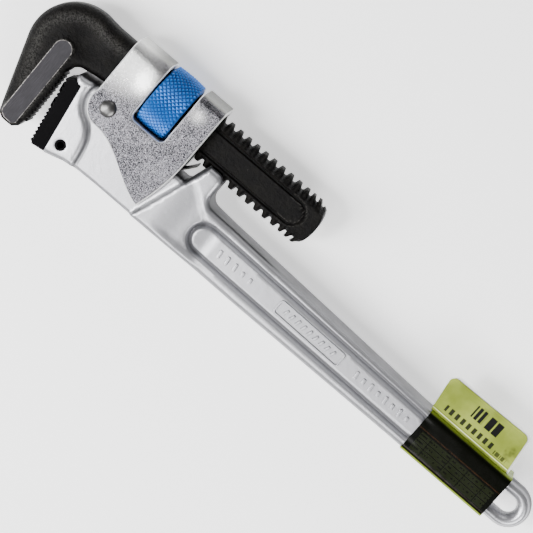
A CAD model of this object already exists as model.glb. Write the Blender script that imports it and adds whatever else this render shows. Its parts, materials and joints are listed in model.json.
import json
import math
import bmesh
import bpy
import numpy as np
from mathutils import Matrix, Vector
from mathutils.geometry import delaunay_2d_cdt


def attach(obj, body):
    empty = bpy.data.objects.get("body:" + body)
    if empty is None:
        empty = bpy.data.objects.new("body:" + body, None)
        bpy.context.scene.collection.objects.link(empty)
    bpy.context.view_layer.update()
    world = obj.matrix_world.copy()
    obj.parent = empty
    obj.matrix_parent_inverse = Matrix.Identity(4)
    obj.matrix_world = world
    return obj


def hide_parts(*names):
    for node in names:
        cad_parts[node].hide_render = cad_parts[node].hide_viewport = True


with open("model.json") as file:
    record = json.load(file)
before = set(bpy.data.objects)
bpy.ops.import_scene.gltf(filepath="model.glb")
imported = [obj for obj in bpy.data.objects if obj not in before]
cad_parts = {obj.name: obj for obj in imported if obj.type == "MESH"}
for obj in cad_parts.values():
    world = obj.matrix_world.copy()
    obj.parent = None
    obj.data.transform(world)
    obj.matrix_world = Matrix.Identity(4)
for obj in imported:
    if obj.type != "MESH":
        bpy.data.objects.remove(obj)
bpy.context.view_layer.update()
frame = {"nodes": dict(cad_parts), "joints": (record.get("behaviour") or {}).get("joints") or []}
joints = {j["name"]: j for j in frame["joints"]}
# every place below is in mm from the rivet, at mid thickness
rivetAt = Vector(joints["frame_rock"]["pos_m"])
threadY = (joints["nut_turn"]["pos_m"][1] - rivetAt.y) * 1000
nutX = (joints["nut_turn"]["pos_m"][0] - rivetAt.x) * 1000
mm = 0.001


class Wire:
    # a socket that takes part in sums
    def __init__(self, graph, socket):
        self.graph = graph
        self.socket = socket

    def __add__(self, other): return self.graph.math("ADD", self, other)
    def __radd__(self, other): return self.graph.math("ADD", other, self)
    def __sub__(self, other): return self.graph.math("SUBTRACT", self, other)
    def __rsub__(self, other): return self.graph.math("SUBTRACT", other, self)
    def __mul__(self, other): return self.graph.math("MULTIPLY", self, other)
    def __rmul__(self, other): return self.graph.math("MULTIPLY", other, self)
    def __truediv__(self, other): return self.graph.math("DIVIDE", self, other)
    def __rtruediv__(self, other): return self.graph.math("DIVIDE", other, self)


class Graph:
    def __init__(self, tree):
        self.tree = tree

    def add(self, kind, settings=None, inputs=None, output=0):
        node = self.tree.nodes.new(kind)
        for key, value in (settings or {}).items():
            setattr(node, key, value)
        for key, value in (inputs or {}).items():
            socket = node.inputs[key]
            if isinstance(value, Wire):
                self.tree.links.new(value.socket, socket)
            else:
                socket.default_value = value
        return Wire(self, node.outputs[output])

    def math(self, operation, *values):
        return self.add("ShaderNodeMath", {"operation": operation}, dict(enumerate(values)))


class Paint(Graph):
    # a principled material; most finishes are made of grain() and step()
    def __init__(self, name, constants):
        self.material = bpy.data.materials.new(name)
        self.material.use_nodes = True
        super().__init__(self.material.node_tree)
        self.shader = self.tree.nodes["Principled BSDF"]
        for key, value in constants.items():
            self.shader.inputs[key].default_value = value
        self.place = self.add("ShaderNodeTexCoord", None, None, "Object")

    def grain(self, scale, detail=2.0, rough=0.5, where=None):
        return self.add("ShaderNodeTexNoise", None, {"Vector": where or self.place, "Scale": scale,
                                                     "Detail": detail, "Roughness": rough}, "Fac")

    def stretched(self, scale):
        return self.add("ShaderNodeMapping", None, {"Vector": self.place, "Scale": scale})

    def step(self, value, low, high, bottom=0.0, top=1.0):
        return self.add("ShaderNodeMapRange", {"interpolation_type": "SMOOTHSTEP"},
                        {"Value": value, "From Min": low, "From Max": high, "To Min": bottom, "To Max": top})

    def band(self, value, low, high, soft=0.15):
        return self.step(value, low - soft, low) * (1 - self.step(value, high, high + soft))

    def cells(self, value):
        # one random number for each whole step of a value
        return self.add("ShaderNodeTexWhiteNoise", {"noise_dimensions": "1D"},
                        {"W": self.math("FLOOR", value)}, "Value")

    def colours(self, factor, one, two):
        return self.add("ShaderNodeMix", {"data_type": "RGBA"}, {"Factor": factor, 6: one, 7: two}, 2)

    def attribute(self, name):
        return self.add("ShaderNodeAttribute", {"attribute_name": name}, None, "Fac")

    def bump(self, height, distance, strength):
        return self.add("ShaderNodeBump", None,
                        {"Height": height, "Distance": distance, "Strength": strength})

    def feed(self, base, rough, normal=None, metal=None, coat=None):
        for key, wire in {"Base Color": base, "Roughness": rough, "Normal": normal, "Metallic": metal,
                          "Coat Weight": coat}.items():
            if wire:
                self.tree.links.new(wire.socket, self.shader.inputs[key])
        return self.material


def grey(value, warm=0.0):
    return (value * (1 + warm), value, value * (1 - warm), 1)


def makeSilverPaint():
    look = {"base": (0.425, 0.425, 0.448, 1), "dirt": (0.020, 0.020, 0.023, 1),
            "flake": (0.60, 0.60, 0.62, 1)}
    p = Paint("silverPaint", {"Metallic": 0.8, "IOR": 1.5, "Coat Roughness": 0.32})
    flakes = p.grain(5200, 1.0)
    cloudy = p.grain(60, 3.0)
    cavity = p.attribute("cavity")
    body = p.colours(p.step(flakes, 0.52, 0.74), look["base"], look["flake"])
    body = p.colours(cavity * p.step(cloudy, 0.1, 0.9, 0.75, 1.0), body, look["dirt"])
    rough = 0.33 + 0.06 * cloudy + 0.10 * cavity
    peel = p.grain(420, 3.0) * 0.7 + p.grain(1900, 2.0) * 0.3
    return p.feed(body, rough, p.bump(peel, 0.00016, 0.55), coat=p.step(cavity, 0.0, 1.0, 0.35, 0.05))


def makeForged():
    look = {"base": (0.0016, 0.0014, 0.0015, 1), "scale": (0.005, 0.0045, 0.0038, 1),
            "worn": (0.07, 0.068, 0.063, 1)}
    p = Paint("forgedBlack", {"IOR": 1.45, "Specular IOR Level": 0.075})
    patches = p.grain(170, 5.0, 0.65)
    pits = p.grain(1500, 4.0, 0.7)
    body = p.colours(p.step(patches, 0.35, 0.75), look["base"], look["scale"])
    worn = p.attribute("rim") * p.step(p.grain(1500, 3.0, 0.6), 0.36, 0.66)
    body = p.colours(worn, body, look["worn"])
    nicks = p.step(p.grain(1150, 2.0, 0.6), 0.73, 0.78)
    body = p.colours(nicks, body, look["worn"])
    height = pits * 0.6 + p.grain(620, 3.0) * 0.7
    return p.feed(body, 0.30 + 0.22 * patches, p.bump(height, 0.00045, 0.9))


def makeGround():
    look = {"base": (0.007, 0.0064, 0.008, 1), "line": (0.017, 0.016, 0.019, 1),
            "edge": (0.42, 0.40, 0.38, 1)}
    p = Paint("groundFlat", {"Metallic": 0.75})
    lines = p.grain(900, 3.0, 0.6, p.stretched((6.0, 0.25, 1.0)))
    dots = p.grain(2600, 2.0)
    patches = p.step(p.grain(130, 3.0), 0.4, 0.7) * 0.55
    worn = p.attribute("rim") * p.step(p.grain(700, 3.0), 0.3, 0.6)
    body = p.colours(p.step(lines, 0.3, 0.75), look["base"], look["line"])
    body = p.colours(patches, body, look["base"])
    body = p.colours(worn, body, look["edge"])
    height = lines + 0.3 * dots
    return p.feed(body, 0.36 + 0.16 * dots, p.bump(height, 0.00006, 0.6))


def makeOxide():
    look = {"base": (0.0013, 0.0011, 0.0015, 1), "worn": (0.03, 0.029, 0.03, 1)}
    p = Paint("blackOxide", {"IOR": 1.45, "Specular IOR Level": 0.03})
    fine = p.grain(1300, 4.0, 0.6)
    wear = p.attribute("rim") * p.step(p.grain(420, 4.0), 0.42, 0.72)
    body = p.colours(wear, look["base"], look["worn"])
    return p.feed(body, 0.38 + 0.2 * fine, p.bump(fine, 0.00012, 0.6))


def makeZinc():
    look = {"dark": (0.006, 0.006, 0.008, 1), "light": (0.205, 0.20, 0.22, 1),
            "web": (0.17, 0.172, 0.155, 1), "edge": (0.85, 0.85, 0.84, 1), "bright": (0.95, 0.95, 0.93, 1)}
    p = Paint("zincPlate", {"IOR": 1.6})
    polish, rim = p.attribute("polish"), p.attribute("rim")
    speck = p.grain(2250, 2.0, 0.7)
    large = p.grain(120, 3.0)
    body = p.colours(p.step(speck * 0.85 + large * 0.15, 0.43, 0.56), look["dark"], look["light"])
    body = p.colours(p.attribute("web") * 0.9, body, look["web"])
    body = p.colours(polish * p.step(speck, 0.2, 0.5, 0.75, 1.0), body, look["bright"])
    body = p.colours(p.step(rim, 0.25, 0.7) * 0.95, body, look["edge"])
    rough = p.step(speck, 0.3, 0.7, 0.42, 0.26) - 0.06 * polish
    height = speck + 0.4 * p.grain(900, 2.0)
    return p.feed(body, rough, p.bump(height, 0.00022, 0.8), 0.85 - 0.45 * rim)


def makeNutBlue():
    look = {"base": (0.010, 0.125, 0.47, 1), "worn": (0.05, 0.27, 0.66, 1),
            "oil": (0.003, 0.022, 0.10, 1)}
    p = Paint("nutBlue", {"Metallic": 0.4, "IOR": 1.5, "Specular IOR Level": 0.25, "Coat Weight": 0.08,
                          "Coat Roughness": 0.25})
    patches = p.grain(240, 4.0)
    tip = p.attribute("tip")
    body = p.colours(p.step(tip, 0.0, 0.45), look["oil"], look["base"])
    body = p.colours(p.step(tip, 0.72, 1.0) * p.step(patches, 0.35, 0.7), body, look["worn"])
    return p.feed(body, 0.30 + 0.2 * patches, p.bump(p.grain(3000, 2.0), 0.00004, 0.5))


def makeSteel(name, tone, roughness, streak):
    p = Paint(name, {"Metallic": 0.9, "IOR": 1.6})
    lines = p.grain(700, 3.0, 0.6, p.stretched(streak))
    cloudy = p.grain(300, 3.0)
    body = p.colours(p.step(cloudy, 0.3, 0.8), grey(tone * 0.7, 0.02), grey(tone, 0.01))
    return p.feed(body, roughness + 0.14 * lines, p.bump(lines, 0.00005, 0.5))


def makePaper():
    p = Paint("labelBack", {"IOR": 1.45})
    fibre = p.grain(1500, 4.0, 0.65)
    body = p.colours(fibre, (0.62, 0.62, 0.60, 1), (0.78, 0.78, 0.76, 1))
    return p.feed(body, 0.55 + 0.2 * fibre, p.bump(fibre, 0.00005, 0.6))


def arc(cx, cy, r, start, end, n):
    turn = np.radians(np.linspace(start, end, n + 1))
    return [(cx + r * math.cos(t), cy + r * math.sin(t)) for t in turn]


def bezier(a, b, c, d, n):
    a, b, c, d = map(np.array, (a, b, c, d))
    return [tuple((1 - t) ** 3 * a + 3 * (1 - t) ** 2 * t * b + 3 * (1 - t) * t * t * c + t ** 3 * d)
            for t in np.linspace(0, 1, n + 1)]


def slotOutline(a, b, ra, rb):
    return arc(*a, ra, 90, 270, 16) + arc(*b, rb, -90, 90, 16)


def roundBox(cx, cy, hx, hy, r, turn, n=5):
    pts = []
    for sx, sy, start in ((1, 1, 0), (-1, 1, 90), (-1, -1, 180), (1, -1, 270)):
        pts += arc(sx * (hx - r), sy * (hy - r), r, start, start + 90, n)
    c, s = math.cos(turn), math.sin(turn)
    return [(cx + c * x - s * y, cy + s * x + c * y) for x, y in pts]


def subdivide(points, step, closed=True):
    pts = [np.array(p, float) for p in points]
    out = []
    for a, b in zip(pts, pts[1:] + pts[:1] if closed else pts[1:]):
        size = float(np.linalg.norm(b - a))
        if size < 1e-4:
            continue
        n = max(1, math.ceil(size / step))
        out += [a + (b - a) * i / n for i in range(n)]
    if not closed:
        out.append(pts[-1])
    return np.array(out)


def distanceTo(points, line, closed=True):
    # shortest distance from each point to a polyline
    a = np.array(line, float)
    b = np.roll(a, -1, 0) if closed else a[1:]
    a = a if closed else a[:-1]
    best = np.full(len(points), 1e9)
    for p, q in zip(a, b):
        d = q - p
        t = np.clip(((points - p) @ d) / max(float(d @ d), 1e-12), 0, 1)
        best = np.minimum(best, np.hypot(*(points - p - t[:, None] * d).T))
    return best


def isInside(points, line):
    x, y = points.T
    hit = np.zeros(len(points), bool)
    line = np.array(line, float)
    for (ax, ay), (bx, by) in zip(line, np.roll(line, -1, 0)):
        if ay != by:
            hit ^= ((ay > y) != (by > y)) & (x < (bx - ax) * (y - ay) / (by - ay) + ax)
    return hit


def signedDistance(points, line):
    return np.where(isInside(points, line), 1, -1) * distanceTo(points, line)


def ease(value, low, high):
    t = np.clip((value - low) / (high - low), 0, 1)
    return t * t * (3 - 2 * t)


def roundOff(distance, r):
    # how far a round edge of radius r has dropped at this distance from the border
    gap = np.clip(r - distance, 0, r)
    return r - np.sqrt(np.maximum(r * r - gap * gap, 0))


def link(name, data):
    item = bpy.data.objects.new(name, data)
    bpy.context.scene.collection.objects.link(item)
    return item


def sideways(pts, closed):
    # unit steps to the right of a line
    ahead = np.roll(pts, -1, 0) - np.roll(pts, 1, 0)
    if not closed:
        ahead[0], ahead[-1] = pts[1] - pts[0], pts[-1] - pts[-2]
    return np.stack([ahead[:, 1], -ahead[:, 0]], 1) / np.maximum(np.hypot(*ahead.T), 1e-9)[:, None]


def offsetLine(line, gap, closed=True):
    pts = subdivide(line, 0.8, closed)
    return pts + sideways(pts, closed) * gap


def cutPattern(outline, holes, creases, step, rings, edgeStep):
    # triangles over a flat outline, with points dense at its border and along its creases
    loops = [subdivide(line, edgeStep) for line in (outline, *holes)]
    runs = [(loop, True) for loop in loops]
    runs += [(subdivide(line, spacing, closed), closed) for line, closed, spacing in creases]
    edges, base = [], 0
    for run, closed in runs:
        edges += [(base + i, base + (i + 1) % len(run)) for i in range(len(run) - (not closed))]
        base += len(run)

    def border(q):
        return np.min([distanceTo(q, loop) for loop in loops], axis=0)

    def kept(q):
        hit = isInside(q, loops[0])
        for hole in loops[1:]:
            hit &= ~isInside(q, hole)
        return hit

    extra = []
    for depth in rings:
        for loop in loops:
            for sign in (-1, 1):
                q = loop + sideways(loop, True) * depth * sign
                q = q[kept(q)]
                extra.append(q[border(q) > depth * 0.93])
    low, high = loops[0].min(0), loops[0].max(0)
    gx, gy = np.meshgrid(np.arange(low[0], high[0], step), np.arange(low[1], high[1], step * 0.87))
    gx[1::2] += step / 2
    grid = np.stack([gx.ravel(), gy.ravel()], 1)
    grid = grid[kept(grid)]
    extra.append(grid[border(grid) > rings[-1] + step * 0.4])
    extra = np.concatenate(extra)
    # leave out points that crowd a crease
    for line, closed, spacing in creases:
        extra = extra[distanceTo(extra, subdivide(line, 5, closed), closed) > spacing * 0.45]
    points = np.concatenate([run for run, _ in runs] + [extra])
    flat, _, tris, *_ = delaunay_2d_cdt([Vector(p) for p in points], edges, [], 0, 1e-4)
    flat = np.array([tuple(v) for v in flat])
    tris = np.array([t for t in tris if len(t) == 3])
    tris = tris[kept(flat[tris].mean(1))]
    used = np.unique(tris)
    renumber = np.full(len(flat), -1)
    renumber[used] = np.arange(len(used))
    flat, tris = flat[used], renumber[tris]
    a, b, c = (flat[tris[:, i]] for i in range(3))
    flip = np.cross(b - a, c - a) < 0
    tris[flip] = tris[flip][:, ::-1]
    return flat, tris, border(flat)


def closeSheets(tris, n, seam):
    # an upper and a lower sheet over the same triangles, with a wall round all borders but the seam
    ways = dict.fromkeys((int(t[i]), int(t[(i + 1) % 3])) for t in tris for i in range(3))
    walls = [(b, a, n + a, n + b) for a, b in ways if (b, a) not in ways and not {a, b} <= seam]
    return [tuple(t) for t in tris] + [tuple(n + t[::-1]) for t in tris] + walls


def twoSided(flat, tris, upper, lower):
    n = len(flat)
    verts = np.concatenate([np.column_stack([flat, np.full(n, z)]) for z in (upper, lower)])
    return verts, closeSheets(tris, n, set())


class Body:
    # gathers several closed shells into one mesh, with their attributes and material numbers
    def __init__(self):
        self.verts, self.faces, self.slots, self.values = [], [], [], {}

    def join(self, verts, faces, slots=0, **values):
        base = len(self.verts)
        self.verts += [tuple(v) for v in verts]
        self.faces += [tuple(int(base + i) for i in f) for f in faces]
        self.slots += list(slots) if hasattr(slots, "__len__") else [slots] * len(faces)
        for key in {**self.values, **values}:
            kept = self.values.setdefault(key, [0.0] * base)
            kept += list(values.get(key, [0.0] * len(verts)))
        return self

    def make(self, name, materials, sharp):
        mesh = bpy.data.meshes.new(name)
        mesh.from_pydata((np.array(self.verts, float) * mm + np.array(rivetAt)).tolist(), [], self.faces)
        for material in materials:
            mesh.materials.append(material)
        mesh.polygons.foreach_set("material_index", self.slots)
        for key, values in self.values.items():
            layer = mesh.attributes.new(key, "FLOAT", "POINT")
            layer.data.foreach_set("value", np.array(values, np.float32))
        mesh.polygons.foreach_set("use_smooth", [True] * len(mesh.polygons))
        mesh.set_sharp_from_angle(angle=math.radians(sharp))
        mesh.validate()
        return link(name, mesh)


def pillow(outline, z, rise, soft):
    # a low island of relief standing on the plane z, with how near each point is to its foot
    flat, tris, gap = cutPattern(outline, (), (), 0.6, (0.15, 0.35), 0.4)
    up = z - 0.25 + (rise + 0.25) * ease(gap, 0, soft)
    return *twoSided(flat, tris, up, z - 0.6), np.tile(0.9 * (1 - ease(gap, 0.02, soft)), 2)


handleLook = {"plateau": 9.7, "edge": 3.0, "seatDepth": 8.2, "seatEdge": 0.35, "pin": (27.2, 13.7, 2.56),
              "pinEdge": 0.5, "coveFrom": -2.3, "coveTo": 0.5, "shoulderFrom": -1.8, "groove": 2.0,
              "grooveWide": 3.2, "web": 1.0, "ring": 5.55, "fork": (46, 65), "forkHalf": 7.2,
              "forkFloor": 5.4, "eye": (253.9, -20.7, 10.8), "hole": (251, 2.55, 4.25),
              "panelX": (71, 197), "panelY": (-18, -19.8), "panelR": (5.4, 4.7)}
handleGrime = {"border": 0.9, "eye": 0.45, "springs": 1.2, "web": 0.38, "groove": 0.5, "cove": 0.85}
reliefLook = {"floor": 9.0, "at": (134.5, -18.75), "half": (19.4, 4.0), "turn": math.radians(-0.8),
              "rim": 1.15, "rimHigh": 0.9, "barPitch": 3.5, "bar": (0.8, 1.9), "barLean": -0.35,
              "barHigh": 0.9, "dashWide": 0.95, "dashLean": 0.12, "dashHigh": 0.85, "soft": 0.4,
              "rows": ((80.5, 4.6, (2.3, 2.3, 2.3, 1.5, 1.5)), (163.0, 4.3, (2.3, 1.6) * 4))}
heelTilt = math.radians(8.8)


def heelPoint(s, t):
    # s runs down the heel jaw's face and t into the head
    return (-23.9 + s * math.sin(heelTilt) + t * math.cos(heelTilt),
            -2.5 - s * math.cos(heelTilt) + t * math.sin(heelTilt))


def handleLines():
    # the border in two runs, the openings, and the lines that the surface follows
    look = handleLook
    eyeX, eyeY, eyeR = look["eye"]
    holeX, holeHalf, holeR = look["hole"]
    pinS, pinT, pinR = look["pin"]
    topEdge = [(x, float(np.interp(x, [66, 196], [-5, eyeY + eyeR]))) for x in (196, 164, 132, 100, 68)]
    forkStep = arc(66, 0.2, 5.1, 270, 180, 9) + arc(56.9, 5.9, 4, 0, 90, 9) + arc(52.8, 8.2, 1.7, 90, 160, 5)
    springFloor = [(46.4, -3), (29.7, -3), (29.7, 1)]
    rest = ([heelPoint(34.6, look["seatDepth"]), (-1, -32.6), (4, -32.0), (18, -31.5), (60, -31.7),
             (100, -32.1), (190, -31.5)] + arc(eyeX, eyeY, eyeR, -90, 90, 24) + topEdge + forkStep
            + [(47.6, -2.2)] + springFloor + [(9.7, 1), (9.7, 4.6), (-12, 4.6)]
            + arc(-18.3, 1.8, 2, 75, 220, 9))
    cove = ([(-10.3, 12)] + arc(0, 0, 11.2, 157, 245, 14)
            + bezier((-4.7, -10.2), (2.2, -14.2), (4.2, -21), (5.2, -40), 14)[1:])
    return {"seat": [heelPoint(-0.65, look["seatDepth"]), heelPoint(34.4, look["seatDepth"])], "rest": rest,
            "hole": slotOutline((holeX - holeHalf, eyeY), (holeX + holeHalf, eyeY), holeR, holeR),
            "pin": arc(*heelPoint(pinS, pinT), pinR, 0, 345, 23),
            "panel": slotOutline(*zip(look["panelX"], look["panelY"]), *look["panelR"]),
            "cove": cove, "shoulder": [(34, -40), (39.1, -26), (51.6, 10), (51.6, 12)]}


def handleHeight(flat, lines):
    # how high the casting stands over each point, and how much grime lies there
    look, grime = handleLook, handleGrime
    x, y = flat.T
    thick = np.interp(x, [-30, 34, 42, 62, 78, 234], [12, 12, 11.3, 10.6, 9, 9])
    inPlateau = signedDistance(flat, lines["cove"] + lines["shoulder"])
    nearShoulder = ease(x, 12, 26)
    coveFrom = look["coveFrom"] * (1 - nearShoulder) + look["shoulderFrom"] * nearShoulder
    up = thick + (look["plateau"] - thick) * ease(inPlateau, coveFrom, look["coveTo"])
    # the groove round the panel, with soft lips
    out = -signedDistance(flat, lines["panel"]) / look["grooveWide"]
    bowl = ease(out, -0.05, 0.45) * ease(1 - out, -0.05, 0.45)
    up -= look["groove"] * bowl
    # the web above the groove falls from the flange's inner line
    flange = np.interp(x, [48, 66, 75, 110], [4, -9.4, -9.6, -9.6])
    web = ease(flange - y, 0, 3.4) * ease(x, 46, 58) * ease(78 - x, 0, 7) * ease(y, -31, -26)
    up -= look["web"] * web
    outer = distanceTo(flat, lines["rest"], False)
    edge = look["edge"] * np.interp(x, [-20, 0, 20, 60, 80], [1, 0.9, 0.7, 0.95, 1])
    up -= roundOff(outer, edge) + roundOff(distanceTo(flat, lines["seat"], False), look["seatEdge"])
    up -= roundOff(distanceTo(flat, lines["pin"]), look["pinEdge"])
    # the ring round the eye is round in section
    toHole = distanceTo(flat, lines["hole"])
    across = (toHole - outer) / np.maximum(toHole + outer, 1e-6)
    ring = look["ring"] * np.sqrt(np.maximum(1 - 0.98 * across ** 2, 0.0))
    share = ease(x, 234, 246)
    up = up * (1 - share) + ring * share
    springs = distanceTo(flat, [(46.5, -3), (29.7, -3), (29.7, 1), (12, 1)], False)
    shade = grime["border"] * (1 - ease(outer, 0.15, 1.4))
    shade += grime["eye"] * share * ease(np.abs(across), 0.65, 1)
    shade += grime["springs"] * (1 - ease(springs, 0.1, 1.0))
    shade += grime["web"] * web + grime["groove"] * bowl
    shade += grime["cove"] * np.exp(-((inPlateau + 0.7) / 0.75) ** 2)
    return up, np.clip(shade, 0, 1)


def panelRelief():
    # a rimmed plate with slanted bars, between two rows of plain dashes
    look = reliefLook
    (cx, cy), (hx, hy), floor, soft = look["at"], look["half"], look["floor"], look["soft"]
    rim = roundBox(cx, cy, hx, hy, 1.7, look["turn"])
    inner = roundBox(cx, cy, hx - look["rim"], hy - look["rim"], 0.9, look["turn"])
    flat, tris, gap = cutPattern(rim, (inner,), (), 0.5, (0.2, 0.4), 0.5)
    up = floor - 0.25 + (look["rimHigh"] + 0.25) * ease(gap, 0, 0.45)
    islands = [(*twoSided(flat, tris, up, floor - 0.6), np.tile(0.9 * (1 - ease(gap, 0.02, soft)), 2))]
    lean = look["turn"] + look["barLean"]
    for k in range(-4, 5):
        bar = roundBox(cx + k * look["barPitch"], cy - k * 0.05, *look["bar"], 0.6, lean)
        islands.append(pillow(bar, floor, look["barHigh"], soft))
    for start, pitch, halves in look["rows"]:
        for k, half in enumerate(halves):
            x = start + k * pitch
            y = float(np.interp(x, handleLook["panelX"], handleLook["panelY"]))
            dash = roundBox(x, y, look["dashWide"], half, 0.7, look["dashLean"])
            islands.append(pillow(dash, floor, look["dashHigh"], soft))
    return islands


def makeHandle(paint):
    look, lines = handleLook, handleLines()
    creases = [(offsetLine(lines["panel"], g * look["grooveWide"]), True, 0.9)
               for g in (-0.06, 0.04, 0.16, 0.32, 0.5, 0.68, 0.84, 0.96, 1.06)]
    creases += [(offsetLine(lines["cove"], g, False), False, 0.8)
                for g in (-2.6, -2.0, -1.4, -0.9, -0.3, 0.3, 0.8)]
    creases += [(offsetLine(lines["shoulder"], g, False), False, 1.0) for g in (-1.8, -1.0, 0.0, 1.0)]
    creases.append(([(46.5, look["forkFloor"]), (64.5, look["forkFloor"])], False, 0.8))
    flat, tris, _ = cutPattern(lines["seat"] + lines["rest"][1:], (lines["hole"], lines["pin"]), creases, 1.3,
                               (0.25, 0.7, 1.3, 2.1, 3.0), 0.9)
    up, cavity = handleHeight(flat, lines)

    # the sheets: outer ones everywhere, and inner ones where the fork is cut
    n, half = len(flat), np.full(len(flat), look["forkHalf"])
    mid = flat[tris].mean(1)
    forked = (mid[:, 1] > look["forkFloor"]) & (mid[:, 0] > look["fork"][0]) & (mid[:, 0] < look["fork"][1])
    verts = np.concatenate([np.column_stack([flat, z]) for z in (up, -up, half, -half)])
    faces = [tuple(t) for t in tris] + [tuple(n + t[::-1]) for t in tris]
    faces += [tuple(2 * n + t[::-1]) for t in tris[forked]] + [tuple(3 * n + t) for t in tris[forked]]
    owner = {(int(t[i]), int(t[(i + 1) % 3])): bool(f) for t, f in zip(tris, forked) for i in range(3)}
    for (a, b), isFork in owner.items():
        beyond = owner.get((b, a))
        if beyond is None and isFork:
            faces += [(b, a, 2 * n + a, 2 * n + b), (3 * n + b, 3 * n + a, n + a, n + b)]
        elif beyond is None:
            faces.append((b, a, n + a, n + b))
        elif beyond and not isFork:
            # the fork's floor
            faces.append((2 * n + b, 2 * n + a, 3 * n + a, 3 * n + b))
    body = Body().join(verts, faces, cavity=np.tile(cavity, 4))
    relief = panelRelief()
    for side in (1, -1):
        for points, sheets, foot in relief:
            body.join(points * np.array([1, 1, side]), [f[::side] for f in sheets], cavity=foot)
    return body.make("handle_casting", [paint], 50)


heelLook = {"teeth": 17, "pitch": 2.0, "depth": 1.2, "half": 9.0, "edge": 0.35, "tangHalf": 4.5}


def teethRun(count, pitch, depth):
    # along the face and down from the crests: root, then a worn crest, then root
    return [((k + at) * pitch, deep) for k in range(count)
            for at, deep in ((0, depth), (0.16, 0.12), (0.3, 0), (0.44, 0.12), (0.86, depth))]


def makeHeelJaw(finish):
    look = heelLook
    depth = look["depth"]
    block = ((34.4, depth), (34.4, 8.15), (-0.6, 8.15), (-1.7, 7.0), (-1.8, 4.6), (-0.4, depth))
    outline = [heelPoint(s, t) for s, t in (*teethRun(look["teeth"], look["pitch"], depth), *block)]
    flat, tris, gap = cutPattern(outline, (), (), 0.9, (0.12, 0.3, 0.6), 0.5)
    up = look["half"] - roundOff(gap, look["edge"])
    rim = np.clip(1 - gap / look["edge"], 0, 1)
    verts, faces = twoSided(flat, tris, up, -up)
    body = Body().join(verts, faces, rim=np.tile(rim, 2))
    # the tang that the pin holds in the handle
    tang = np.array([(*heelPoint(s, t), z) for s, t in ((11.5, 7.6), (33, 7.6), (33, 17.5), (11.5, 17.5))
                     for z in (-look["tangHalf"], look["tangHalf"])])
    body.join(tang, [(0, 2, 3, 1), (2, 4, 5, 3), (4, 6, 7, 5), (6, 0, 1, 7), (1, 3, 5, 7), (0, 6, 4, 2)])
    return body.make("heel_jaw_insert", [finish], 30)


hookLook = {"half": 7.5, "back": 5.6, "throat": 3.2, "nose": 1.3, "toothEdge": 0.25, "teeth": 14,
            "toothFrom": -31, "toothRun": 29.2, "toothDeep": 1.2, "crestX": -25.2, "flankSlope": 0.38,
            "dish": 1.5, "dishAt": (-27, 16), "strip": 7.88, "stripAt": (-33.2, 6), "stripR": 4.4,
            "sheen": 0.42, "sheenIn": 6.0, "sheenWide": 2.8}
shankLook = {"half": 6.5, "root": 9.6, "crest": 12.0, "pitch": 5, "phase": 12, "groove": 1.0, "endX": 106.2,
             "endR": 21.5, "panelEnd": 93.0, "panelHalf": 5.8, "sweep": 37,
             "side": (1.5, 3, 4.4, 4.8, 5.1, 5.5, 5.8, 6.1, 6.5, 6.9, 7.3)}


def hookHead():
    look = hookLook
    crestX, rootX = look["crestX"], look["crestX"] - look["toothDeep"]
    back = [(8, 29.4), (-20, 29.4)] + arc(-29, 7.5, 22.7, 80, 198, 34) + [(-39.6, -33.4)]
    nose = [(-39.6, -33.4), (-38, -35.4), (-35.4, -36.7), (-33, -36.85), (-29.6, -36.7), (-27.2, -34.6),
            (rootX, look["toothFrom"])]
    teethLine = [(crestX - deep, look["toothFrom"] + along) for along, deep
                 in teethRun(look["teeth"], look["toothRun"] / look["teeth"], look["toothDeep"])]
    throat = arc(-19.6, -0.9, 5.8, 176, 97, 10) + [(-14.8, 5.9), (-8.7, 6.6), (8, 6.6)]
    stripX, stripY = look["stripAt"]
    # the ground strip, with a round top and a cut foot
    strip = ([(-28.8, -34.0), (-30.4, -35.5), (-34.6, -35.4), (-36.9, -34.1), (-37.6, -32.6)]
             + [(stripX - look["stripR"] * math.cos(t), stripY + look["stripR"] * math.sin(t))
                for t in np.linspace(0, math.pi, 17)])
    creases = [(offsetLine(strip, g), True, 0.7) for g in (0.0, 0.3, 0.65)]
    flat, tris, _ = cutPattern(back[:-1] + nose + teethLine + throat, (), creases, 1.1,
                               (0.2, 0.5, 1.0, 1.8, 2.8, 4.0), 0.8)
    x, y = flat.T
    dishX, dishY = look["dishAt"]
    up = look["half"] - look["dish"] * (1 - ease(np.hypot(x - dishX, y - dishY), 1, 11.5))
    for line, edge in ((back, "back"), (throat, "throat"), (nose, "nose"), (teethLine, "toothEdge")):
        up -= roundOff(distanceTo(flat, line, False), look[edge])
    up -= look["flankSlope"] * np.clip(x + 28.9, 0, 4) * ease(-y, -2, 3)
    inStrip = signedDistance(flat, strip)
    onStrip = ease(inStrip, -0.35, 0.0)
    up = up * (1 - onStrip) + np.minimum(look["strip"], up + 1.3 * onStrip + 2.0) * onStrip
    # worn bright round the strip, and along the round back
    rim = np.clip(1 - np.abs(inStrip + 0.02) / 0.3, 0, 1) * 0.7
    sheen = np.exp(-((distanceTo(flat, back, False) - look["sheenIn"]) / look["sheenWide"]) ** 2)
    rim += look["sheen"] * sheen * (onStrip < 0.5) * ease(y, -34, -6)
    onFlat = list(np.where(isInside(flat[tris].mean(1), strip), 1, 0))
    verts, faces = twoSided(flat, tris, up, -up)
    return verts, faces, onFlat * 2 + [0] * (len(faces) - 2 * len(tris)), np.tile(rim, 2)


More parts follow.
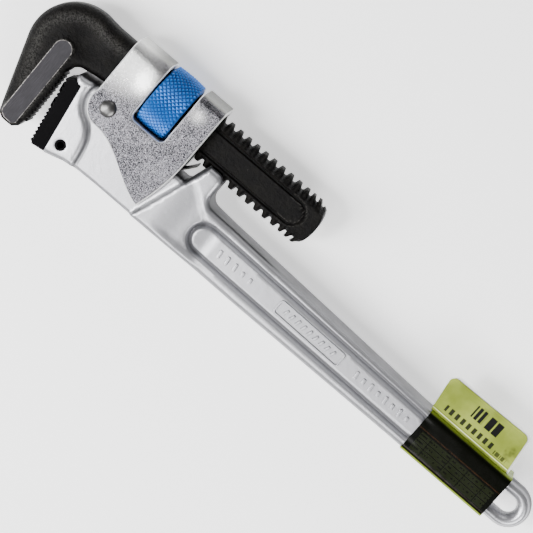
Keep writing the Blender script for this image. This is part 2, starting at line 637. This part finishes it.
def shankSection(at):
    # points and wear round the shank at one station: a flat side, a threaded edge, and both again
    look = shankLook
    half, ring, marks = look["half"], [], []
    side = np.array([-s for s in look["side"][::-1]] + [0, *look["side"]])
    for sign in (1, -1):
        away = np.abs(np.hypot(max(at - look["panelEnd"], 0), side) - look["panelHalf"])
        dip = look["groove"] * (1 - ease(away, 0.35, 0.95))
        ring += [(at, s * sign, sign * (half - d)) for s, d in zip(side, dip)]
        marks += list(np.clip(1 - np.abs(away - 0.95) / 0.3, 0, 1) * (0.9 if at > 88 else 0.12))
        fade = float(ease(look["endX"] + 1.0 - at, 0.2, 3.0))
        for a in np.radians(np.linspace(look["sweep"], -look["sweep"], 17)):
            turn = a if sign > 0 else a + math.pi
            phase = (at - look["phase"]) / look["pitch"] - turn / (2 * math.pi)
            wave = 0.5 + 0.5 * math.cos(2 * math.pi * phase)
            high = float(ease(wave, 0.1, 0.72)) * fade * (1 - 0.75 * float(ease(abs(a), 0.30, 0.64)))
            r = look["root"] + (look["crest"] - look["root"]) * high
            ring.append((at, r * math.cos(turn), max(-half, min(half, r * math.sin(turn)))))
            marks.append(0.7 * max(0.0, wave - 0.75))
    return ring, marks


def hookShank():
    look = shankLook
    endX, endR = look["endX"], look["endR"]
    bow = lambda y: endR - np.sqrt(endR ** 2 - np.clip(y, -look["crest"], look["crest"]) ** 2)
    stations = np.concatenate([np.arange(7, 100, 0.42), np.linspace(100, endX, 22)])
    sections = [shankSection(at) for at in stations]
    marks = [m for _, wear in sections for m in wear]
    count = len(sections[0][0])
    pts = np.concatenate([ring for ring, _ in sections])
    # the end is bowed and ragged
    x, y, z = pts.T
    ragged = 0.35 * np.sin(y * 0.9 + z * 0.5) + 0.25 * np.sin(y * 2.1 - z * 0.8 + 1)
    pts[:, 0] -= ease(x, 90, endX) * bow(y) + ease(x, 102, endX) * (0.6 + ragged)
    pts[:, 1] += threadY
    faces = []

    def stitch(start):
        for j in range(count):
            a, b = start + j, start + (j + 1) % count
            faces.append((a, b, b + count, a + count))

    for k in range(len(sections) - 1):
        stitch(k * count)
    # and closes in a few shrinking rings
    last = pts[-count:]
    centre = last.mean(0)
    closing = []
    for k, (share, push) in enumerate(((0.95, 0.25), (0.8, 0.35), (0.5, 0.3), (0.2, 0.2))):
        ring = centre + (last - centre) * share
        ring[:, 0] = endX - bow(ring[:, 1] - threadY) + push - 0.35
        closing.append(ring)
        stitch(len(pts) + (k - 1) * count)
    pts = np.concatenate([pts, *closing])
    faces += [tuple(len(pts) - count + j for j in range(count)), tuple(reversed(range(count)))]
    return pts, faces, marks + [0.0] * (len(pts) - len(marks))


def makeHookJaw(forged, ground):
    verts, faces, slots, rim = hookHead()
    body = Body().join(verts, faces, slots, rim=rim)
    verts, faces, marks = hookShank()
    body.join(verts, faces, rim=marks)
    return body.make("hook_jaw_forging", [forged, ground], 42)


frameLook = {"half": 13.0, "plate": 3.0, "top": 33.3, "bends": (6.5, 4.0), "edge": 0.85, "bulge": 1.4,
             "bulgeAt": (8.5, 21), "lobe": 9.9, "left": -9.1, "right": 42.5, "tip": (36.8, -25.6),
             "window": (10.2, 28.65, 3.6, 2.6)}
rivetLook = {"radius": 4.0, "high": 15.0, "domed": 2.0, "neck": 3.5, "steps": 48}


def makeFrame(zinc):
    # cut flat, as a plate whose two halves meet on the middle line of the bridges, then bent
    look = frameLook
    top, half, left, right = look["top"], look["half"], look["left"], look["right"]
    upper, lower = look["bends"]
    windowLeft, windowRight, windowY, r = look["window"]
    reachUp, reachLow = (top - bend + bend * math.pi / 2 + half - bend for bend in (upper, lower))
    outerSide = [(right - (5 - y) ** 2 / 184, y) for y in (-25.2, -20, -14, -8, -2, 4)] + [(right, 6)]
    side = ([(left, 4.2)] + arc(0, 0, look["lobe"], 156, 262, 26)
            + bezier((2, -9.9), (14, -10.8), (24, -22.5), look["tip"], 18) + outerSide)
    corner = windowY + r
    window = arc(windowRight - r, corner, r, 0, -90, 7) + arc(windowLeft + r, corner, r, 270, 180, 7)
    outline = ([(left, reachUp)] + side + [(right, reachLow), (windowRight, reachLow)] + window
               + [(windowLeft, reachUp)])
    bends = [([(-9, 26.8), (10.1, 26.8)], False, 0.9), ([(28.8, 29.3), (42.4, 29.3)], False, 0.9)]
    flat, tris, _ = cutPattern(outline, (), bends, 1.1, (0.15, 0.4, 0.75, 1.2), 0.8)
    x, t = flat.T
    # the real edges run past the line where the halves meet
    past = 3
    borders = [[(left, reachUp + past)] + side + [(right, reachLow + past)],
               [(windowRight, reachLow + past)] + window + [(windowLeft, reachUp + past)]]
    gap = np.min([distanceTo(flat, line, False) for line in borders], axis=0)
    drop = roundOff(gap, look["edge"])
    bend = np.where(x < nutX, upper, lower)
    y0 = top - bend
    turn = np.clip((t - y0) / bend, 0, math.pi / 2)
    fall = np.maximum(t - y0 - bend * math.pi / 2, 0)
    bulgeX, bulgeT = look["bulgeAt"]
    swell = look["bulge"] * np.exp(-((x - bulgeX) / 5.8) ** 2 - ((t - bulgeT) / 7.5) ** 2)
    sheets = []
    for depth in (drop, look["plate"] - drop):
        y = np.where(t < y0, t, y0 + (bend - depth) * np.sin(turn))
        z = half - bend + (bend - depth) * np.cos(turn) - fall + swell
        sheets.append(np.column_stack([x, y, np.maximum(z, 0)]))
    verts = np.concatenate(sheets)
    seam = np.flatnonzero(np.abs(t - np.where(x < nutX, reachUp, reachLow)) < 1e-3)
    faces = closeSheets(tris, len(flat), set(seam.tolist()))
    faces += [tuple(len(verts) + i for i in f[::-1]) for f in faces]
    # how bright the plate is rubbed: over the bulge, towards the upper bend, and by the lower one
    polish = np.exp(-((x - 5.2) / 4.6) ** 2 - ((t - 21.5) / 6.5) ** 2)
    polish += 0.5 * ease(7 - x, 0, 12) * ease(t, 3, 20)
    polish += 0.35 * np.exp(-((x - 33) / 3.5) ** 2 - ((t - 24) / 3.0) ** 2)
    wear = {"rim": np.clip(1 - gap / 0.9, 0, 1), "web": ease(turn, 0.75, 1.35),
            "polish": np.minimum(polish, 1)}
    both = np.concatenate([verts, verts * np.array([1, 1, -1])])
    body = Body().join(both, faces, **{key: np.tile(value, 4) for key, value in wear.items()})
    piece = body.make("frame_plate", [zinc], 40)
    edit = bmesh.new()
    edit.from_mesh(piece.data)
    middle = [v for v in edit.verts if abs(v.co.z - rivetAt.z) < 2e-6]
    bmesh.ops.remove_doubles(edit, verts=middle, dist=2e-6)
    edit.to_mesh(piece.data)
    edit.free()
    piece.data.set_sharp_from_angle(angle=math.radians(40))
    return piece


def makeRivet(steel):
    look = rivetLook
    half = [(look["high"] - look["domed"] * (1 - math.cos(a)), look["radius"] * math.sin(a))
            for a in np.linspace(0, math.pi / 2, 12)] + [(12.9, look["radius"]), (12.8, look["neck"])]
    profile = [(-h, r) for h, r in half] + half[::-1]
    n, steps = len(profile), look["steps"]
    turns = [2 * math.pi * k / steps for k in range(steps)]
    verts = [(r * math.cos(a), r * math.sin(a), h) for a in turns for h, r in profile]
    pairs = [(k * n + i, (k + 1) % steps * n + i) for k in range(steps) for i in range(n - 1)]
    faces = [(a, b, b + 1, a + 1) for a, b in pairs]
    faces += [tuple(range(0, steps * n, n))[::-1], tuple(range(n - 1, steps * n, n))]
    return Body().join(verts, faces).make("frame_rivet_dome", [steel], 40)


nutLook = {"radius": 15.6, "height": 0.58, "crown": 0.5, "width": 16.4, "columns": 42, "rows": 13,
           "pitch": 1.15, "faces": (13.5, 14.1, 14.6), "chamfer": 0.35, "bare": 1.15, "bore": 12.4,
           "steps": 132, "thread": 5, "ridgeFrom": 14.5, "ridgeR": (9.95, 12.7)}


def knurlTree(finish):
    tree = bpy.data.node_groups.new("knurl", "GeometryNodeTree")
    face = tree.interface
    face.new_socket("Geometry", in_out="INPUT", socket_type="NodeSocketGeometry")
    keys = {}
    for key in ("columns", "rows", "pitch", "radius", "crown", "height", "width"):
        value = nutLook[key]
        kind, scale = ("NodeSocketInt", 1) if isinstance(value, int) else ("NodeSocketFloat", mm)
        keys[face.new_socket(key, in_out="INPUT", socket_type=kind).identifier] = value * scale
    face.new_socket("Geometry", in_out="OUTPUT", socket_type="NodeSocketGeometry")
    g = Graph(tree)
    start = tree.nodes.new("NodeGroupInput")
    columns, rows, pitch, middle, crown, height, width = (Wire(g, s) for s in start.outputs[1:8])
    column = g.math("FLOOR", (g.add("GeometryNodeInputIndex") + 0.5) / rows)
    row = g.add("GeometryNodeInputIndex") - column * rows
    turn = (column + 0.5 * g.math("MODULO", row, 2.0)) / columns * (2 * math.pi)
    along = (row - (rows - 1) * 0.5) * pitch
    bow = along / (width * 0.5)
    radius = middle - crown * bow * bow
    cosine, sine = g.math("COSINE", turn), g.math("SINE", turn)
    outward = g.add("ShaderNodeCombineXYZ", None, {"X": 0.0, "Y": cosine, "Z": sine})
    place = g.add("ShaderNodeCombineXYZ", None, {"X": along, "Y": radius * cosine, "Z": radius * sine})
    points = g.add("GeometryNodePoints", None, {"Count": columns * rows, "Position": place})
    aim = g.add("FunctionNodeAlignRotationToVector", {"axis": "Z"}, {"Vector": outward})
    aim = g.add("FunctionNodeAlignRotationToVector", {"axis": "X", "pivot_axis": "Z"},
                {"Rotation": aim, "Vector": (1.0, 0.0, 0.0)})
    cone = g.add("GeometryNodeMeshCone", None, {"Vertices": 4, "Radius Top": 0.0, "Radius Bottom": pitch,
                                                "Depth": height})
    cones = g.add("GeometryNodeInstanceOnPoints", None, {"Points": points, "Instance": cone, "Rotation": aim})
    solid = g.add("GeometryNodeRealizeInstances", None, {"Geometry": cones})
    painted = g.add("GeometryNodeSetMaterial", None, {"Geometry": solid, "Material": finish})
    end = tree.nodes.new("NodeGroupOutput")
    tree.links.new(painted.socket, end.inputs[0])
    return tree, keys


def makeNut(finish):
    look = nutLook
    host = link("knurlHost", bpy.data.meshes.new("knurlHost"))
    tree, keys = knurlTree(finish)
    modifier = host.modifiers.new("knurl", "NODES")
    modifier.node_group = tree
    for identifier, value in keys.items():
        modifier[identifier] = value
    graph = bpy.context.evaluated_depsgraph_get()
    knurl = bpy.data.meshes.new_from_object(host.evaluated_get(graph))
    bpy.data.objects.remove(host)
    knurlVerts = np.array([v.co[:] for v in knurl.vertices]) / mm + np.array([nutX, threadY, 0])
    knurlFaces = [tuple(p.vertices) for p in knurl.polygons]
    bpy.data.meshes.remove(knurl)
    half = look["width"] / 2

    def radiusAt(h):
        return look["radius"] - look["crown"] * (h / half) ** 2

    # the barrel: two faces with chamfers, the crowned band under the knurl, and the bore
    first, second, third = look["faces"]
    steps, bare, chamfer = look["steps"], look["bare"], look["chamfer"]
    end = [(half - chamfer, third), (half, second), (half, first)]
    loop = [(-h, r) for h, r in end[::-1]]
    loop += [(h, radiusAt(h)) for h in np.linspace(bare - half, half - bare, 13)]
    loop += end + [(half - 1.2, look["bore"]), (1.2 - half, look["bore"])]
    around = [(math.cos(2 * math.pi * k / steps), math.sin(2 * math.pi * k / steps)) for k in range(steps)]
    barrel = np.array([(nutX + h, threadY + r * c, r * s) for c, s in around for h, r in loop])
    m = len(loop)
    pairs = [(k * m, (k + 1) % steps * m) for k in range(steps)]
    barrelFaces = [(a + i, a + (i + 1) % m, b + (i + 1) % m, b + i) for a, b in pairs for i in range(m)]
    # the ridge that runs in the shank's thread
    crest, root = look["ridgeR"]
    turns = np.arange(-120, 781, 10)
    ridge = [(look["ridgeFrom"] + look["thread"] * a / 360 + dx, threadY + r * math.cos(math.radians(a)),
              r * math.sin(math.radians(a)))
             for a in turns for r, dx in ((crest, 0.5), (crest, -0.5), (root, -1.2), (root, 1.2))]
    ridgeFaces = [(k * 4 + j, k * 4 + (j + 1) % 4, k * 4 + 4 + (j + 1) % 4, k * 4 + 4 + j)
                  for k in range(len(turns) - 1) for j in range(4)]
    ridgeFaces += [(3, 2, 1, 0), tuple(len(ridge) - 4 + j for j in range(4))]
    height = np.hypot(knurlVerts[:, 1] - threadY, knurlVerts[:, 2]) - radiusAt(knurlVerts[:, 0] - nutX)
    body = Body()
    body.join(barrel, barrelFaces, tip=np.where(np.abs(barrel[:, 0] - nutX) > half - 1.0, 0.3, 0.12))
    body.join(ridge, ridgeFaces)
    body.join(knurlVerts, knurlFaces, tip=np.clip(height / look["height"], 0, 1))
    return body.make("nut_knurled", [finish], 20)


labelLook = {"x0": 199.3, "x1": 247.2, "low": -32.28, "top": -9.1, "half": 9.4, "film": 0.3, "corner": 3.1,
             "sink": 0.12, "leafX": 198.5, "leafRoot": -9.05, "leafCorner": 3.0}
labelInk = {"wrap": (0.0014, 0.0017, 0.0008, 1), "cell": (0.0085, 0.011, 0.0042, 1),
            "ink": (0.001, 0.0011, 0.0008, 1), "rust": (0.022, 0.010, 0.004, 1),
            "lime": (0.20, 0.27, 0.018, 1), "flag": (0.15, 0.19, 0.018, 1),
            "flagPale": (0.29, 0.345, 0.056, 1), "glare": (0.78, 0.84, 0.50, 1)}


def makeSleevePaint():
    look = labelInk
    p = Paint("labelPrint", {"IOR": 1.5, "Coat Weight": 0.12, "Coat Roughness": 0.1,
                             "Specular IOR Level": 0.12})
    along, across, flank = p.attribute("along"), p.attribute("across"), p.attribute("flank")
    cloudy = p.grain(90, 3.0)
    fine = p.grain(1600, 3.0)
    table = p.band(across, 3.6, 13.6) * p.band(along, 3.0, 45.5)
    body = p.colours(table * p.step(cloudy, 0.2, 0.5, 0.6, 1.0), look["wrap"], look["cell"])
    ruled = p.band(across, 6.9, 7.1) + p.band(across, 10.2, 10.4) + p.band(across, 13.3, 13.6)
    for at in (8.5, 20.5, 30.0, 40.0):
        ruled = ruled + p.band(along, at, at + 0.2)
    body = p.colours(ruled * table, body, look["ink"])
    # rows of small broken marks inside the cells
    marks = p.step(p.cells(along * 1.6), 0.42, 0.5)
    rows = p.band(across, 5.0, 5.7) + p.band(across, 8.4, 9.1) + p.band(across, 11.6, 12.3)
    body = p.colours(rows * marks * table * 0.8, body, look["ink"])
    rust = p.band(across, 14.3, 14.6, 0.3) + p.band(across, 2.6, 2.8, 0.3) * 0.5
    body = p.colours(rust * p.step(fine, 0.3, 0.6), body, look["rust"])
    body = p.colours(flank * p.step(cloudy, 0.25, 0.6, 0.75, 1.0), body, look["lime"])
    return p.feed(body, 0.16 + 0.14 * cloudy, p.bump(p.grain(75, 2.0), 0.0006, 0.35))


def makeFlagPaint():
    look = labelInk
    p = Paint("labelGreen", {"IOR": 1.5, "Coat Weight": 0.06, "Coat Roughness": 0.2,
                             "Specular IOR Level": 0.12})
    along, up = p.attribute("along"), p.attribute("across")
    cloudy = p.grain(60, 4.0)
    fine = p.grain(1800, 3.0)
    body = p.colours(p.step(cloudy, 0.3, 0.7), look["flag"], look["flagPale"])
    # blocks of uneven width, a line of dashes, and a short run of small marks
    blocks = p.step(p.cells(along * 1.25), 0.28, 0.3) * p.band(along, 15.2, 33.0, 0.05)
    blocks = blocks * p.band(up, 9.2, 15.6, 0.08)
    dashes = p.band(p.math("FRACT", along / 3.3), 0.2, 0.7, 0.05) * p.band(along, 4.5, 33.5, 0.1)
    dashes = dashes * p.band(up, 3.4, 6.4, 0.1) * 0.95
    small = p.step(p.cells(along * 2.4), 0.4, 0.45) * p.band(along, 34.0, 41.0, 0.1)
    small = small * p.band(up, 2.6, 4.6, 0.1) * 0.8
    smear = p.step(p.grain(95, 3.0), 0.55, 0.66) * 0.55 * p.band(up, 5.0, 16.0, 1.5)
    printed = p.math("MAXIMUM", blocks, dashes + small) * p.step(fine, 0.05, 0.3, 0.92, 1.0)
    body = p.colours(p.math("MAXIMUM", printed, smear), body, look["ink"])
    # the two creases along the fold
    glare = p.band(up, 1.2, 1.4, 0.12) * p.step(cloudy, 0.3, 0.6, 0.4, 1.0)
    body = p.colours(glare, body, look["glare"])
    body = p.colours(p.band(up, 1.9, 2.0, 0.1) * 0.6, body, look["ink"])
    height = p.grain(110, 2.0) + 0.1 * fine
    return p.feed(body, 0.34 + 0.16 * fine, p.bump(height, 0.0004, 0.4))


def makeSleeve(finish):
    look = labelLook
    low, top, half = look["low"], look["top"], look["half"]
    mid, reach = (low + top) / 2, (top - low) / 2
    loop = np.array(subdivide(roundBox(mid, 0, reach, half, look["corner"], 0, 7), 0.9))
    stations = np.linspace(look["x0"], look["x1"], 44)
    verts, along, across, flank = [], [], [], []
    for shell in (0.0, look["film"]):
        for at in stations:
            wave = 0.06 * math.sin(at * 0.9) + 0.05 * math.sin(at * 0.37 + 1)
            near = float(ease(206.5 - at, 0, 5))
            for y, z in loop:
                # the film sinks a little where the panel's groove runs under it
                sink = look["sink"] * math.exp(-((abs(y - mid) - 6.2) / 1.3) ** 2) * near
                k = 1 - (shell + max(0.0, wave) * 0.3) / half
                verts.append((at, mid + (y - mid) * (1 - shell / reach), z * k - math.copysign(sink, z)))
                along.append(at - look["x0"])
                across.append(y - low)
                flank.append(float(ease(half - abs(z), *((0.6, 1.7) if y > mid else (0.35, 0.8)))))
    n, m = len(loop), len(stations)
    inside = m * n
    faces = []
    for k in range(m - 1):
        for j in range(n):
            a, b = k * n + j, k * n + (j + 1) % n
            faces.append((a, a + n, b + n, b))
            a, b = a + inside, b + inside
            faces.append((a, b, b + n, a + n))
    end = (m - 1) * n
    for j in range(n):
        b = (j + 1) % n
        faces.append((j, b, inside + b, inside + j))
        faces.append((end + b, end + j, end + inside + j, end + inside + b))
    body = Body().join(verts, faces, along=along, across=across, flank=np.minimum(flank, 1.0))
    return body.make("label_wrap", [finish], 40)


def makeLeaf(name, finish, shift, low, high, wavy):
    look = labelLook
    left, root, c = look["leafX"], look["leafRoot"], look["leafCorner"]
    dx, dy = shift
    outline = ([(left + dx, root), (243 + dx, root)] + arc(240.8 + dx - c, 10.2 + dy - c, c, 0, 90, 7)
               + arc(196.2 + dx + c, 9.4 + dy - c, c, 90, 180, 7))
    flat, tris, _ = cutPattern(outline, (), (), 1.2, (0.3, 1.0), 1.0)
    x, y = flat.T
    curl = wavy * (0.35 * ease(y, root, 10) * np.sin((x - 196) / 9.5) + 0.25 * ease(y, -2, 10) ** 2)
    verts, faces = twoSided(flat, tris, high + curl, low + curl)
    body = Body().join(verts, faces, along=np.tile(x - left, 2), across=np.tile(y - root, 2))
    return body.make(name, [finish], 40)


# tilt and turn of the camera in degrees, lengths in metres; a light is given by its place along the
# camera's right, up and back, then its size and power
stageLook = {"tilt": 12.5, "turn": 40.7, "aim": (-0.0064, -0.00895, 0.0162), "away": 1.2, "wide": 0.2423,
             "world": 0.07, "floor": 3, "floorGlow": 0.9,
             "lights": {"key": ((-1.1, -0.1, 0.7), (0.7, 0.9), 30.0),
                        "fill": ((0.2, -1.1, 0.7), (0.9, 0.6), 17.0),
                        "top": ((0.5, 1.1, 0.8), (0.9, 0.5), 4.0),
                        "sky": ((-0.50, -0.62, 0.95), (0.45, 0.4), 4.0),
                        "glint": ((-0.60, -0.06, 0.98), (0.22, 0.22), 8.0)}}


def makeCamera():
    look = stageLook
    tilt, turn = math.radians(look["tilt"]), math.radians(look["turn"])
    back = Vector((0, math.sin(tilt), math.cos(tilt)))
    flat = Vector((0, math.cos(tilt), -math.sin(tilt)))
    right = Vector((math.cos(turn), 0, 0)) + math.sin(turn) * flat
    up = Vector((-math.sin(turn), 0, 0)) + math.cos(turn) * flat
    target = Vector(look["aim"])
    data = bpy.data.cameras.new("camera")
    data.sensor_width = 36
    data.lens = data.sensor_width * look["away"] / look["wide"]
    data.clip_start = 0.05
    camera = link("camera", data)
    pose = Matrix((right, up, back)).transposed().to_4x4()
    pose.translation = target + back * look["away"]
    camera.matrix_world = pose
    bpy.context.scene.camera = camera
    return target, right, up, back


def addLight(name, at, target, size, power):
    data = bpy.data.lights.new(name, "AREA")
    data.shape = "RECTANGLE"
    data.size, data.size_y = size
    data.energy = power
    light = link(name, data)
    light.location = at
    light.rotation_euler = (target - at).to_track_quat("-Z", "Y").to_euler()


def makeStage():
    look = stageLook
    target, right, up, back = makeCamera()
    for name, ((x, y, z), size, power) in look["lights"].items():
        addLight(name, target + right * x + up * y + back * z, target, size, power)
    world = bpy.data.worlds.new("world")
    world.use_nodes = True
    background = world.node_tree.nodes["Background"]
    background.inputs["Color"].default_value = (1, 1, 1, 1)
    background.inputs["Strength"].default_value = look["world"]
    bpy.context.scene.world = world
    far = look["floor"]
    mesh = bpy.data.meshes.new("floor")
    mesh.from_pydata([(-far, -far, 0), (far, -far, 0), (far, far, 0), (-far, far, 0)], [], [(0, 1, 2, 3)])
    floor = link("floor", mesh)
    p = Paint("floorPaint", {"IOR": 1.3, "Emission Color": (1, 1, 1, 1),
                             "Emission Strength": look["floorGlow"]})
    tone = p.grain(6, 2.0)
    mesh.materials.append(p.feed(p.colours(tone, grey(0.93), grey(0.96)), 0.75 + 0.1 * tone))


makeStage()
print("stage done")

silver, forged, ground, oxide, zinc, blue = (make() for make in (
    makeSilverPaint, makeForged, makeGround, makeOxide, makeZinc, makeNutBlue))
rivetSteel = makeSteel("rivetSteel", 0.16, 0.26, (1.0, 1.0, 1.0))
springSteel = makeSteel("springSteel", 0.05, 0.35, (0.4, 4.0, 1.0))
paper = makePaper()
print("finishes done")

pieces = [
    (makeHandle(silver), "handle", "silver_paint", ["handle"]),
    (makeHeelJaw(oxide), "handle", "jaw_black", ["heel_jaw"]),
    (makeHookJaw(forged, ground), "hook", "forged_black", ["hook_jaw"]),
    (makeFrame(zinc), "frame", "zinc", ["frame"]),
    (makeRivet(rivetSteel), "frame", "rivet_steel", ["frame_rivet"]),
    (makeNut(blue), "nut", "nut_blue", ["adjusting_nut"]),
    (makeSleeve(makeSleevePaint()), "handle", "label_dark", ["label_sleeve"]),
    (makeLeaf("label_flag_sheet", makeFlagPaint(), (0, 0), 6.0, 6.3, 1.0), "handle", "label_green",
     ["label_flag"]),
    (makeLeaf("label_backing_sheet", paper, (1, 1.2), 5.6, 5.9, 0.9), "handle", "label_back",
     ["label_flag_backing"])]
for piece, body, slot, nodes in pieces:
    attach(piece, body)
    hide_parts(*nodes)
    print(piece.name, len(piece.data.polygons))

# carried-over CAD parts keep their shape and get the finish
for node, material in (("heel_jaw_pin", oxide), ("leaf_spring", springSteel), ("spring_rivet", rivetSteel),
                       ("coil_spring", springSteel)):
    mesh = frame["nodes"][node].data
    mesh.materials.clear()
    mesh.materials.append(material)
